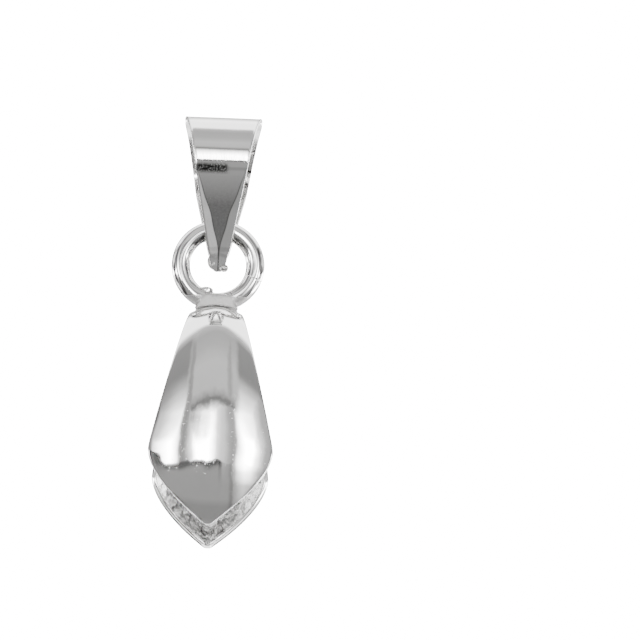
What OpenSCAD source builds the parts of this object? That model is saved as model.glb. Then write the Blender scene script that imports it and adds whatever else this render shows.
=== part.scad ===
// A pinch bail, which hangs a stone or a bead from a chain. A folded band hangs in a ring, and the ring
// stands on a clip whose two domed leaves carry the pins that reach into the pendant.
// The origin is the underside of the band's top, where the chain bears. +Z is up, the chain runs along X,
// and the front leaf is at -Y. All sizes are in millimetres.

/* [Bail band] */
// Height of the band, from the top of its loop to its tip
band_h = 8.6; // [8.2:0.05:9.4]
// Depth of the loop, from the front leg to the back leg
loop_d = 6.3; // [5.8:0.05:6.8]
// Height of the loop's inside, from its top down to where the loop is deepest
loop_rise = 2.55; // [2.3:0.05:2.9]
// Width of the band over the top of the loop
band_w = 4.25; // [3.7:0.05:4.6]
// Width of the band where its two legs join
join_w = 1.1; // [0.95:0.05:1.3]
// Length of the joined tip below the legs
join_h = 1.1; // [0.9:0.05:1.4]
// Thickness of the band in the middle
band_t = 0.26; // [0.2:0.02:0.34]
// Inner radius of the bends at the front and back of the loop
side_r = 1.35; // [1:0.05:1.7]
// Softness of the corners where the band is widest
corner_soft = 0.9; // [0.5:0.05:1.4]
// Length of the sunken triangle that is pressed into each leg
sunk_l = 5.1; // [3.5:0.1:5.5]
// Slope of the strips beside the sunken triangle, in degrees
strip_slope = 14; // [8:1:18]
// Width of the bevel along the band's outer edges
band_edge = 0.04; // [0.02:0.01:0.06]

/* [Ring] */
// Outer diameter of the ring
ring_d = 5.08; // [4.6:0.02:5.6]
// Diameter of the ring's wire
ring_wire = 1.02; // [0.8:0.02:1.1]
// Depth that the ring is let into the crown of the clip
ring_sink = 0.17; // [0.1:0.01:0.25]
// Half width of the solder foot along the crown, beyond the middle of the ring
foot_half = 1.28; // [1.15:0.01:1.35]
// Width that the solder foot adds at each flank of the wire
foot_flare = 0.1; // [0.05:0.01:0.15]

/* [Clip] */
// Height of the clip, from its crown to the tips of its leaves
clip_h = 12.7; // [12:0.05:14]
// Depth of the clip over the two domed leaves
clip_d = 8.9; // [8.2:0.1:9.8]
// Distance between the outer faces of the two leaf tips
tips_d = 6.8; // [6.2:0.1:7.4]
// Height of the rounded arch, from the crown down to where the leaves stand upright
arch_h = 6.8; // [6.2:0.1:7.4]
// Width of the clip over its crown
crown_w = 2.9; // [2.8:0.05:3.4]
// Width of a leaf at its widest
leaf_w = 6.76; // [6:0.02:7.4]
// Height of the widest part of a leaf above its tip
corner_h = 4.05; // [3.6:0.05:4.4]
// Radius of the rounded end of a leaf
tip_r = 0.7; // [0.3:0.05:1]
// Thickness of the clip's strip
clip_t = 0.55; // [0.45:0.01:0.65]
// Rise of the crown's middle above its edges
crown_dome = 0.42; // [0.3:0.02:0.5]
// Rise of a leaf's middle above its edges, where the leaf is widest
leaf_dome = 0.76; // [0.5:0.02:0.9]

/* [Pins] */
// Diameter of the pins
pin_d = 1; // [0.7:0.05:1.1]
// Gap between the free ends of the pins
pin_gap = 0.5; // [0.3:0.05:1]
// Height of the pins' axis above the leaf tips
pin_up = 1.35; // [1.2:0.05:1.6]
// Depth that a pin is let into its leaf
pin_sink = 0.25; // [0.15:0.01:0.3]
// Width of the solder fillet round a pin's root
pin_fillet = 0.15; // [0.05:0.01:0.2]

/* [Fits] */
// Clearance between the top of the ring's wire and each leg of the band
wire_clear = 0.21; // [0.18:0.01:0.28]

/* [Hidden] */
$fn = 96;

// The loop's inner face is half an ellipse over the top, a bend on each side, and two straight legs that
// meet in the crotch. The leg's line is the tangent from the crotch to the side bend.
loop_r = loop_d / 2 - band_t;
crotch = band_h - band_t - join_h;
bend_y = loop_r - side_r;
bend_to_crotch = norm([bend_y, crotch - loop_rise]);
leg_angle = atan2(bend_y, crotch - loop_rise) + asin(side_r / bend_to_crotch);
leg_l = sqrt(pow(bend_to_crotch, 2) - pow(side_r, 2));
bend_l = side_r * leg_angle * PI / 180;

// Stations along half of the band's inner face: depth from the middle, drop from the origin, the outward
// normal, and the length along the face from the top of the loop.
TOP_STEPS = 15;
BEND_STEPS = 5;
LEG_STEPS = 14;
function unit(v) = v / norm(v);
function top_point(i) = let(a = 90 * i / TOP_STEPS) [loop_r * sin(a), loop_rise * (1 - cos(a))];
function top_length(i) = i == 0 ? 0 : top_length(i - 1) + norm(top_point(i) - top_point(i - 1));
top_l = top_length(TOP_STEPS);
half_l = top_l + bend_l + leg_l;
function top_station(i) = let(a = 90 * i / TOP_STEPS, p = top_point(i))
    [p[0], p[1], unit([loop_rise * sin(a), loop_r * cos(a)]), top_length(i)];
function bend_station(i) = let(a = leg_angle * i / BEND_STEPS)
    [bend_y + side_r * cos(a), loop_rise + side_r * sin(a), [cos(a), -sin(a)],
     top_l + bend_l * i / BEND_STEPS];
function leg_station(i) = let(left = leg_l * (1 - i / LEG_STEPS))
    [left * sin(leg_angle), crotch - left * cos(leg_angle), [cos(leg_angle), -sin(leg_angle)], half_l - left];
crotch_station = [0, crotch, [1, -tan(leg_angle / 2)], half_l];

// The joined tip narrows to a rounded end: share of its length, of its width and of its thickness.
TIP_SHARES = [[0.3, 0.88, 0.8], [0.6, 0.76, 0.6], [0.85, 0.58, 0.43], [0.96, 0.38, 0.34], [1, 0.2, 0.25]];

// Half width of the band at a length s along its face: straight tapers, with a soft corner at the top
taper = (band_w - join_w) / (sqrt(pow(half_l, 2) + pow(corner_soft, 2)) - corner_soft);
function band_half(s) = (band_w - taper * (sqrt(s * s + pow(corner_soft, 2)) - corner_soft)) / 2;
// Half width of the sunken triangle there. It starts at the band's edges and ends in a point at the crotch.
SUNK_BOW = 1.3;
sunk_start = half_l - sunk_l;
function sunk_half(s) = s < sunk_start ? band_half(s) :
    band_half(sunk_start) * pow(max(0, half_l - s) / sunk_l, SUNK_BOW);

// One section of the band, as points [x, distance from the inner face], for a half width and a triangle's
// half width. thin scales its thickness.
CREASE = 0.02;
function band_section(half, sunk, thin = 1) = let(
    crease = max(CREASE * thin, min(sunk, half - 2 * band_edge)),
    rim = (band_t + max(0, half - 2 * band_edge - crease) * tan(strip_slope)) * thin,
    bevel = band_edge * thin)
    [[-half, 0], [-half, rim - bevel], [bevel - half, rim], [-crease, band_t * thin],
     [crease, band_t * thin], [half - bevel, rim], [half, rim - bevel], [half, 0]];
BAND_POINTS = 8;

function placed(station, section, side) = [for (p = section)
    [p[0], side * (station[0] + station[2][0] * p[1]), -station[1] + station[2][1] * p[1]]];

band_stations = concat([for (i = [0 : TOP_STEPS - 1]) top_station(i)],
                       [for (i = [0 : BEND_STEPS - 1]) bend_station(i)],
                       [for (i = [0 : LEG_STEPS - 1]) leg_station(i)], [crotch_station]);
CROTCH_AT = len(band_stations) - 1;
BAND_LAST = CROTCH_AT + len(TIP_SHARES);
function band_side(side) = concat(
    [for (st = band_stations) each placed(st, band_section(band_half(st[3]), sunk_half(st[3])), side)],
    [for (r = TIP_SHARES)
        each placed([0, crotch + join_h * r[0], [1, 0]], band_section(join_w / 2 * r[1], 0, r[2]), side)]);

// The front and back halves share their points at the top of the loop and on the joint in the tip.
function is_shared(i, k) = i == 0 || (i >= CROTCH_AT && (k == 0 || k == BAND_POINTS - 1));
function band_index(side, i, k) =
    i * BAND_POINTS + k + (side > 0 && !is_shared(i, k) ? (BAND_LAST + 1) * BAND_POINTS : 0);
function wound(side, a, b, c) = side > 0 ? [a, b, c] : [a, c, b];
function band_faces(side) = [for (i = [0 : BAND_LAST - 1], k = [0 : BAND_POINTS - 1])
    if (k < BAND_POINTS - 1 || i < CROTCH_AT) let(
        m = (k + 1) % BAND_POINTS,
        a = band_index(side, i, k), b = band_index(side, i, m),
        c = band_index(side, i + 1, m), d = band_index(side, i + 1, k))
    each [wound(side, a, c, b), wound(side, a, d, c)]];
band_end = concat([for (k = [0 : BAND_POINTS - 1]) band_index(-1, BAND_LAST, k)],
                  [for (k = [BAND_POINTS - 2 : -1 : 1]) band_index(1, BAND_LAST, k)]);
function fan(loop) = [for (i = [1 : len(loop) - 2]) [loop[0], loop[i], loop[i + 1]]];

// The ring hangs in the crotch, where its wire clears both legs, and it stands in the crown of the clip.
wire_z = -crotch + (ring_wire / 2 + wire_clear) / sin(leg_angle);
ring_r = (ring_d - ring_wire) / 2;
ring_z = wire_z - ring_r;
crown_z = ring_z - ring_d / 2 + ring_sink;
tips_z = crown_z - clip_h;

// Stations along half of the clip's ridge, by the drop from the crown: a quarter ellipse, and then a leaf
// that turns in towards its tip. Each has its depth, drop and outward normal.
ARCH_STEPS = 16;
UPRIGHT_STEPS = 5;
POINT_STEPS = 11;
corner_drop = clip_h - corner_h;
leaf_h = clip_h - arch_h;
tip_turn = (clip_d - tips_d) / 2;
function arch_station(i) = let(a = 90 * i / ARCH_STEPS)
    [clip_d / 2 * sin(a), arch_h * (1 - cos(a)), unit([arch_h * sin(a), clip_d / 2 * cos(a)])];
function leaf_station(drop) = let(q = (drop - arch_h) / leaf_h)
    [clip_d / 2 - tip_turn * pow(q, 3), drop, unit([1, -3 * tip_turn * q * q / leaf_h])];
clip_half = concat(
    [for (i = [0 : ARCH_STEPS - 1]) arch_station(i)],
    [for (i = [0 : UPRIGHT_STEPS - 1]) leaf_station(arch_h + (corner_drop - arch_h) * i / UPRIGHT_STEPS)],
    [for (i = [0 : POINT_STEPS]) leaf_station(clip_h - corner_h * pow(1 - i / POINT_STEPS, 1.5))]);

// Half width, rise of the middle over the edges, and thickness of the clip at a drop from the crown. Below
// its widest part the leaf runs to a point, which end_height rounds off to tip_r.
LEAF_BOW = 1.85;
TIP_BLUNT = 0.13;
TIP_THIN = 0.25;
end_slope = leaf_w / 2 * LEAF_BOW / corner_h;
end_soft = tip_r / pow(end_slope, 2);
function end_height(up) = sqrt(up * up + 2 * up * end_soft) - end_soft * up / (up + end_soft);
function clip_width(drop) = let(up = max(0, clip_h - drop)) drop < corner_drop ?
    crown_w / 2 + (leaf_w - crown_w) / 2 * drop / corner_drop :
    max(TIP_BLUNT, leaf_w / 2 * (1 - pow(max(0, 1 - end_height(up) / corner_h), LEAF_BOW)));
function clip_dome(drop) = drop < corner_drop ?
    crown_dome + (leaf_dome - crown_dome) * drop / corner_drop :
    leaf_dome * pow(2 * clip_width(drop) / leaf_w, 2);
function clip_wall(drop) = clip_t * (1 - TIP_THIN * pow(drop / clip_h, 8));

// One section of the clip, as points [x, distance from the ridge along the normal]. It goes over the outer
// face, round a rounded edge, back along the inner face and round the other edge.
SPAN = [for (i = [-4 : 4]) i / 4];
EDGE_ROUND = 0.14;
function clip_section(half, dome, wall) = let(
    slope = atan(2 * dome / half),
    inner_half = half * half / (half + wall * sin(slope)),
    inner_dome = dome - wall * (1 - cos(slope)),
    edge_x = (half + inner_half) / 2 + EDGE_ROUND * wall * cos(slope),
    edge_n = -(dome + wall + inner_dome) / 2 - EDGE_ROUND * wall * sin(slope))
    concat([for (u = SPAN) [u * half, -dome * u * u]], [[edge_x, edge_n]],
           [for (u = SPAN) [-u * inner_half, -wall - inner_dome * u * u]], [[-edge_x, edge_n]]);
CLIP_POINTS = 2 * len(SPAN) + 2;

function clip_ring(station, side) = let(drop = station[1], n = station[2])
    [for (p = clip_section(clip_width(drop), clip_dome(drop), clip_wall(drop)))
        [p[0], side * (station[0] + n[0] * p[1]), crown_z - drop + n[1] * p[1]]];
CLIP_LAST = len(clip_half) - 1;
clip_points = concat([for (i = [CLIP_LAST : -1 : 1]) each clip_ring(clip_half[i], -1)],
                     [for (st = clip_half) each clip_ring(st, 1)]);
clip_faces = [for (i = [0 : 2 * CLIP_LAST - 1], k = [0 : CLIP_POINTS - 1]) let(
    a = i * CLIP_POINTS + k, b = i * CLIP_POINTS + (k + 1) % CLIP_POINTS)
    each [[a, b + CLIP_POINTS, b], [a, a + CLIP_POINTS, b + CLIP_POINTS]]];
clip_ends = concat(fan([for (k = [0 : CLIP_POINTS - 1]) k]),
                   fan([for (k = [CLIP_POINTS - 1 : -1 : 0]) 2 * CLIP_LAST * CLIP_POINTS + k]));

// Where the pins stand on the leaves' inner faces, worked out from the ridge at their height
pin_drop = clip_h - pin_up;
leaf_reach = lookup(pin_drop, [for (st = clip_half) [st[1], st[0]]]);
leaf_lean = lookup(pin_drop, [for (st = clip_half) [st[1], st[2][0]]]);
pin_root = leaf_reach - clip_wall(pin_drop) / leaf_lean;
pin_l = pin_root - pin_gap / 2;

// The tapered sheet, folded over into the loop and joined at its tip
module bail_band() {
    color("silver")
        polyhedron(points = concat(band_side(-1), band_side(1)),
                   faces = concat(band_faces(-1), band_faces(1), fan(band_end)), convexity = 6);
}

// The strip bent into an arch, with a domed and pointed leaf at each end
module leaves_and_crown() {
    polyhedron(points = clip_points, faces = concat(clip_faces, clip_ends), convexity = 6);
}

// Round wire, standing upright across the crown
module ring() {
    translate([0, 0, ring_z])
        rotate([90, 0, 0])
            rotate_extrude()
                translate([ring_r, 0])
                    circle(d = ring_wire);
}

// The solder foot that fills the corner between the ring and the crown. Its rows hold the height above the
// crown as a share of the wire, the share of foot_half, and how much of foot_flare is added to the wire.
FOOT_ROWS = [[-0.4, 1.03, 1.4], [-0.1, 1.01, 0.9], [0, 1, 0.4], [0.12, 0.96, 0], [0.3, 0.84, -0.4]];
FOOT_SIDES = 20;
FOOT_SQUARE = 0.7;
module ring_foot() {
    function rounded(v) = sign(v) * pow(abs(v), FOOT_SQUARE);
    points = [for (r = FOOT_ROWS, i = [0 : FOOT_SIDES - 1]) let(a = 360 * (i + 0.5) / FOOT_SIDES)
        [foot_half * r[1] * rounded(cos(a)),
         (ring_wire / 2 + foot_flare * r[2]) * rounded(sin(a)), crown_z + ring_wire * r[0]]];
    walls = [for (j = [0 : len(FOOT_ROWS) - 2], i = [0 : FOOT_SIDES - 1]) let(
        a = j * FOOT_SIDES + i, b = j * FOOT_SIDES + (i + 1) % FOOT_SIDES)
        each [[a, b + FOOT_SIDES, b], [a, a + FOOT_SIDES, b + FOOT_SIDES]]];
    top = (len(FOOT_ROWS) - 1) * FOOT_SIDES;
    polyhedron(points = points, faces = concat(walls, fan([for (i = [0 : FOOT_SIDES - 1]) i]),
               fan([for (i = [FOOT_SIDES - 1 : -1 : 0]) top + i])), convexity = 4);
}

// One round pin, let into the front (-1) or back (1) leaf, with a fillet of solder round its root
module pin(side) {
    translate([0, side * (pin_root + pin_sink), tips_z + pin_up])
        rotate([side * 90, 0, 0]) {
            cylinder(d = pin_d, h = pin_l + pin_sink);
            cylinder(d1 = pin_d + 2 * pin_fillet, d2 = pin_d, h = pin_sink + 2 * pin_fillet);
        }
}

module pinch_clip() {
    color("gainsboro") {
        leaves_and_crown();
        ring();
        ring_foot();
        pin(-1);
        pin(1);
    }
}

bail_band();
pinch_clip();
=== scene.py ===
"""A polished silver pinch bail: a folded band, the ring that hangs in it, and a sprung clip with two pins.

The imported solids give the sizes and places. This script dresses them with fine sheet edges, soldered
joints and polished, milled and grainy silver, in a plain white studio.
"""
import math

import bmesh
import bpy
import numpy as np
from mathutils import Matrix, Vector


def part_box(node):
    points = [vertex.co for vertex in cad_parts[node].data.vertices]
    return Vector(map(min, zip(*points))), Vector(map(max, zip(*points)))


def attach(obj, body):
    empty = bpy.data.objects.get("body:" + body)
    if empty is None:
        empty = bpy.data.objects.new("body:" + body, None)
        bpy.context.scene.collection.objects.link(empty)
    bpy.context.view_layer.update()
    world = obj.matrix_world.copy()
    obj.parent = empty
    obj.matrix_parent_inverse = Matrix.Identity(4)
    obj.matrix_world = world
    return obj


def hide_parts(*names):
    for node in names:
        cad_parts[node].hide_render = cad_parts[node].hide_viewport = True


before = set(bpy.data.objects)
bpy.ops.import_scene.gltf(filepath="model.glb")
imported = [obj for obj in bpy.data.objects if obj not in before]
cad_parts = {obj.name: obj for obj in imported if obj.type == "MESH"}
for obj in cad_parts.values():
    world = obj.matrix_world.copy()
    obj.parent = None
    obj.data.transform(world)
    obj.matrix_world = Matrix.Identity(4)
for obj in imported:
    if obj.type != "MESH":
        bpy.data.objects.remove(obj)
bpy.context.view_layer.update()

# The bail band is one tapered piece of thin silver sheet, folded over into a loop for the chain. Its two
# legs meet below the ring's wire, where they are soldered into one tip. A long triangle is pressed into
# the outside of each leg, between two strips that rise to the milled edges.
MM = 0.001
tip_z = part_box("bail_band")[0][2]
band_t = 0.26 * MM
loop_r = 3.15 * MM - band_t
loop_rise = 2.55 * MM
side_r = 1.35 * MM
join_h = 1.1 * MM
crotch_z = tip_z + join_h
band_w = 4.25 * MM
join_w = 1.1 * MM
corner_soft = 0.9 * MM
sunk_l = 5.1 * MM
strip_rise = math.tan(math.radians(14))
heel_r = 1.5 * MM
edge_r = 0.05 * MM
crease_r = 0.015 * MM
least_crease = 0.012 * MM
mill_pitch = 0.13 * MM
mill_depth = 0.012 * MM
punch_wobble = 0.03 * MM
sheet_ripple = 0.0025 * MM
tip_narrowing = 0.4
tip_thinning = 0.72
tip_flattening = 0.4

# The fold leaves the side of the loop flat, and a little swollen above and below the flat.
flat_from = 0.1 * MM
flat_l = 1.6 * MM
flat_depth = 0.024 * MM
flat_fade = 0.6

bend_y = loop_r - side_r
bend_drop = -crotch_z - loop_rise
to_crotch = math.hypot(bend_y, bend_drop)
leg_angle = math.atan2(bend_y, bend_drop) + math.asin(side_r / to_crotch)
fine_turn = np.linspace(0, math.pi / 2, 400)
fine_top = np.stack([loop_r * np.sin(fine_turn), loop_rise * (1 - np.cos(fine_turn))], 1)
fine_length = np.concatenate([[0], np.cumsum(np.linalg.norm(np.diff(fine_top, axis=0), axis=1))])
top_l = fine_length[-1]
bend_l = side_r * leg_angle
half_l = top_l + bend_l + math.sqrt(to_crotch ** 2 - side_r ** 2)
taper = (band_w - join_w) / (math.hypot(half_l, corner_soft) - corner_soft)


def band_half_width(along):
    return (band_w - taper * (np.sqrt(along ** 2 + corner_soft ** 2) - corner_soft)) / 2


def triangle_half_width(along):
    """Half width of the pressed triangle, whose sides the punch has left a little wavy."""
    start = half_l - sunk_l
    share = np.clip((half_l - along) / sunk_l, 0, 1)
    wobble = punch_wobble * np.sin(along / MM * 3.1 + 0.6) * np.sin(math.pi * share)
    return np.where(along < start, band_half_width(along), band_half_width(start) * share ** 1.3 + wobble)


def sheet_line(along):
    """Depth and height of the sheet's outer face, with its outward normal, along one half from the top."""
    turn = np.interp(along, fine_length, fine_turn)
    bend = np.clip((along - top_l) / side_r, 0, leg_angle)
    straight = np.clip(along - top_l - bend_l, 0, None)
    y = loop_r * np.sin(turn) + side_r * (np.cos(bend) - 1) - straight * math.sin(leg_angle)
    z = loop_rise * (np.cos(turn) - 1) - side_r * np.sin(bend) - straight * math.cos(leg_angle)
    lean = np.arctan2(loop_rise * np.sin(turn), loop_r * np.cos(turn)) + bend
    normal = np.stack([np.sin(lean), np.cos(lean)], 1)
    from_flat = along - top_l - flat_from
    flat = -flat_depth * np.cos(2 * math.pi * from_flat / flat_l)
    flat = flat * np.exp(-(from_flat / (flat_fade * flat_l)) ** 2)
    return np.stack([y, z], 1) + normal * (band_t + flat)[:, None], normal


# Rows of points down one half: the loop and leg, the hollow heel above the joint, and the joined tip.
HEEL_ROWS = 14
TIP_ROWS = 30
ROW_STEP = 0.034 * MM
corner_z = crotch_z - band_t * math.tan(leg_angle / 2)
heel_reach = heel_r * math.tan(leg_angle / 2)
leg_end = half_l - band_t * math.tan(leg_angle / 2) - heel_reach
leg_along = np.linspace(0, leg_end, int(leg_end / ROW_STEP))
leg_line, leg_normal = sheet_line(leg_along)
heel_turn = leg_angle * (1 - np.linspace(0, 1, HEEL_ROWS + 1)[1:])
heel_normal = np.stack([np.cos(heel_turn), -np.sin(heel_turn)], 1)
heel_line = np.array([band_t + heel_r, corner_z - heel_reach]) - heel_r * heel_normal
tip_down = np.linspace(0, 1, TIP_ROWS + 1)[1:] ** 0.8 * (corner_z - heel_reach - tip_z)
tip_line = np.stack([np.full(TIP_ROWS, band_t), corner_z - heel_reach - tip_down], 1)
line = np.concatenate([leg_line, heel_line, tip_line])
normal = np.concatenate([leg_normal, heel_normal, np.tile([1.0, 0.0], (TIP_ROWS, 1))])
along = np.concatenate([leg_along, leg_end + heel_r * (leg_angle - heel_turn), np.full(TIP_ROWS, half_l)])
along = np.minimum(along, half_l)

# The tip narrows and thins to a blunt end, and its strips lie flatter there.
past_crotch = np.clip((crotch_z - line[:, 1]) / join_h, 0, 1)
blunt_end = np.sqrt(1 - 0.96 * past_crotch ** 8)
half = band_half_width(along) * (1 - tip_narrowing * past_crotch) * blunt_end
thin = 1 - tip_thinning * past_crotch
flat_end = half - edge_r
crease = np.clip(triangle_half_width(along), least_crease, flat_end - 4 * crease_r)

# One section, for all rows at once: over the outer face, round the milled edge and back inside. The shares
# say where its points stand across the triangle, the strip and the inside.
MIDDLE = np.array([0, 0.1, 0.2, 0.3, 0.4, 0.5, 0.6, 0.7, 0.8, 0.88, 0.94, 0.975])
STRIP = np.array([0, 0.03, 0.07, 0.14, 0.25, 0.4, 0.55, 0.7, 0.85, 1])
UNDER = np.array([0.85, 0.7, 0.55, 0.4, 0.25, 0.12, 0])
quarter = np.linspace(0, math.pi / 2, 6)


def column(values):
    return values[:, None]


outer_x = np.concatenate([column(crease) * MIDDLE, column(crease) + STRIP * column(flat_end - crease)], 1)
past = outer_x - column(crease)
ripple = sheet_ripple * np.sin(outer_x / MM * 1.9 + column(along) / MM * 0.7)
ripple = ripple * np.sin(column(along) / MM * 1.6)
soft_past = past + np.sqrt(past ** 2 + crease_r ** 2)
strip_height = strip_rise * column(1 - tip_flattening * past_crotch) * soft_past / 2
outer_w = band_t + strip_height + ripple
rim = outer_w[:, -1:]
notch = mill_depth * (0.5 + 0.5 * np.cos(2 * math.pi * column(along) / mill_pitch)) ** 2
wall_share = np.linspace(0, 1, 7)[1:-1]
NOTCHED = np.array([0.6, 1, 1, 1, 0.6])
section_x = np.concatenate([outer_x, column(flat_end) + edge_r * np.sin(quarter[1:]),
                            column(half) - notch * NOTCHED,
                            column(flat_end) + edge_r * np.cos(quarter), column(flat_end) * UNDER], 1)
section_w = np.concatenate([outer_w, rim - edge_r * (1 - np.cos(quarter[1:])),
                            rim - edge_r + (2 * edge_r - rim) * wall_share,
                            np.broadcast_to(edge_r * (1 - np.sin(quarter)), (len(half), len(quarter))),
                            np.zeros((len(half), len(UNDER)))], 1)
OUTER_COUNT = outer_x.shape[1]
INNER_FROM = OUTER_COUNT + 2 * (len(quarter) - 1) + len(NOTCHED)
loop_x = np.concatenate([section_x, -section_x[:, -2:0:-1]], 1)
loop_w = np.concatenate([section_w, section_w[:, -2:0:-1]], 1) * column(thin)
depth = column(line[:, 0]) + column(normal[:, 0]) * (loop_w - band_t)
height = column(line[:, 1]) + column(normal[:, 1]) * (loop_w - band_t)

# The creases are darkened, partly by tarnish and partly as painted shade, and the pressed triangle is painted
# darker downwards as a painted reflection of the ring and clip. A broken dark band painted across the front
# bend stands in for a dark reflection, and three short stains lie on the inside at the back.
crease_dirt_w = 0.03 * MM
crease_dirt_grows = 1.2 * MM
triangle_dirt_from = 5.2 * MM
triangle_dirt_grows = 1.8 * MM
triangle_dirt_edge = 0.05 * MM
is_outside = loop_w > 0.5 * band_t * column(thin)
# Tarnish and painted shade along the creases.
crease_dirt = np.exp(-((np.abs(loop_x) - column(crease)) / crease_dirt_w) ** 2)
crease_dirt *= column(np.clip((along - (half_l - sunk_l)) / crease_dirt_grows, 0, 1)) * is_outside
# The pressed triangle is painted darker downwards, a painted reflection of the ring and clip.
inside_triangle = np.clip((column(crease) - np.abs(loop_x)) / triangle_dirt_edge, 0, 1) * is_outside
triangle_dirt = inside_triangle * column(np.clip((along - triangle_dirt_from) / triangle_dirt_grows, 0, 1))


def spot(x_from, x_to, z_middle, z_reach, soft=0.12 * MM):
    """A soft-edged mark across the sheet, between two places across it and about one height."""
    across = np.clip((loop_x - x_from) / soft, 0, 1) * np.clip((x_to - loop_x) / soft, 0, 1)
    return across * np.clip(1.6 - np.abs(height - z_middle) / z_reach, 0, 1)


# A broken dark band painted across the front bend, standing in for a dark reflection.
bend_stain = is_outside * spot(-1.5 * MM, 0.42 * MM, -3.27 * MM, 0.2 * MM, 0.2 * MM)
low_stain = spot(1.1 * MM, 1.75 * MM, -2.62 * MM, 0.12 * MM)
middle_stain = spot(1.1 * MM, 2.0 * MM, -1.86 * MM, 0.07 * MM)
high_stain = spot(0.9 * MM, 2.1 * MM, -0.85 * MM, 0.03 * MM, 0.05 * MM)
back_stain = ~is_outside * np.maximum.reduce([low_stain, middle_stain, high_stain])


def ring_faces(rows, columns):
    """Quads between rows of closed sections."""
    index = np.arange(rows * columns).reshape(rows, columns)
    across = np.roll(index, -1, axis=1)
    return np.stack([index[:-1], across[:-1], across[1:], index[1:]], -1).reshape(-1, 4)


def make_piece(name, points, faces, caps=(), weld=5e-8, marks=None, finishes=None, inner_seam=None):
    """A mesh object from points and quads, closed by caps. It is welded and shaded smooth.

    marks holds values that a finish reads at each point, and finishes a finish number for each quad.
    inner_seam says which faces lie hidden between two joined halves, so that they are taken out.
    """
    mesh = bpy.data.meshes.new(name)
    all_faces = [tuple(face) for face in faces] + [tuple(cap) for cap in caps]
    mesh.from_pydata([tuple(point) for point in points], [], all_faces)
    for mark, values in (marks or {}).items():
        mesh.attributes.new(mark, "FLOAT", "POINT").data.foreach_set("value", np.asarray(values, np.float32))
    if finishes is not None:
        numbers = np.zeros(len(mesh.polygons), np.int32)
        numbers[:len(finishes)] = finishes
        mesh.polygons.foreach_set("material_index", numbers)
    work = bmesh.new()
    work.from_mesh(mesh)
    bmesh.ops.remove_doubles(work, verts=work.verts, dist=weld)
    bmesh.ops.dissolve_degenerate(work, edges=work.edges, dist=weld / 2)
    if inner_seam:
        bmesh.ops.delete(work, geom=[face for face in work.faces if inner_seam(face)], context="FACES")
    bmesh.ops.recalc_face_normals(work, faces=work.faces)
    for face in work.faces:
        face.smooth = True
    work.to_mesh(mesh)
    work.free()
    piece = bpy.data.objects.new(name, mesh)
    bpy.context.scene.collection.objects.link(piece)
    return piece


def link(tree, source, target):
    tree.links.new(source, target)


def node_math(tree, operation, values):
    """A sum on numbers and outputs of other nodes."""
    maths = tree.nodes.new("ShaderNodeMath")
    maths.operation = operation
    for socket, value in zip(maths.inputs, values):
        if isinstance(value, (int, float)):
            socket.default_value = value
        else:
            link(tree, value, socket)
    return maths.outputs["Value"]


def node_ramp(tree, value, stops):
    """Shades by a value from 0 to 1: stops are (value, shade) in order, and a shade is a grey or a colour."""
    curve = tree.nodes.new("ShaderNodeValToRGB")
    marks = curve.color_ramp.elements
    while len(marks) < len(stops):
        marks.new(0.5)
    for stop, (at, shade) in zip(marks, stops):
        stop.position = at
        stop.color = (*shade, 1) if isinstance(shade, tuple) else (shade, shade, shade, 1)
    link(tree, value, curve.inputs["Fac"])
    return curve.outputs["Color"]


# The black of tarnish and stains, and of painted shade and painted reflections.
TARNISH_BLACK = (0.03, 0.029, 0.028, 1)
DIRT_ROUGHENS = 0.08
DULL_ROUGHENS = 0.35


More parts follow.
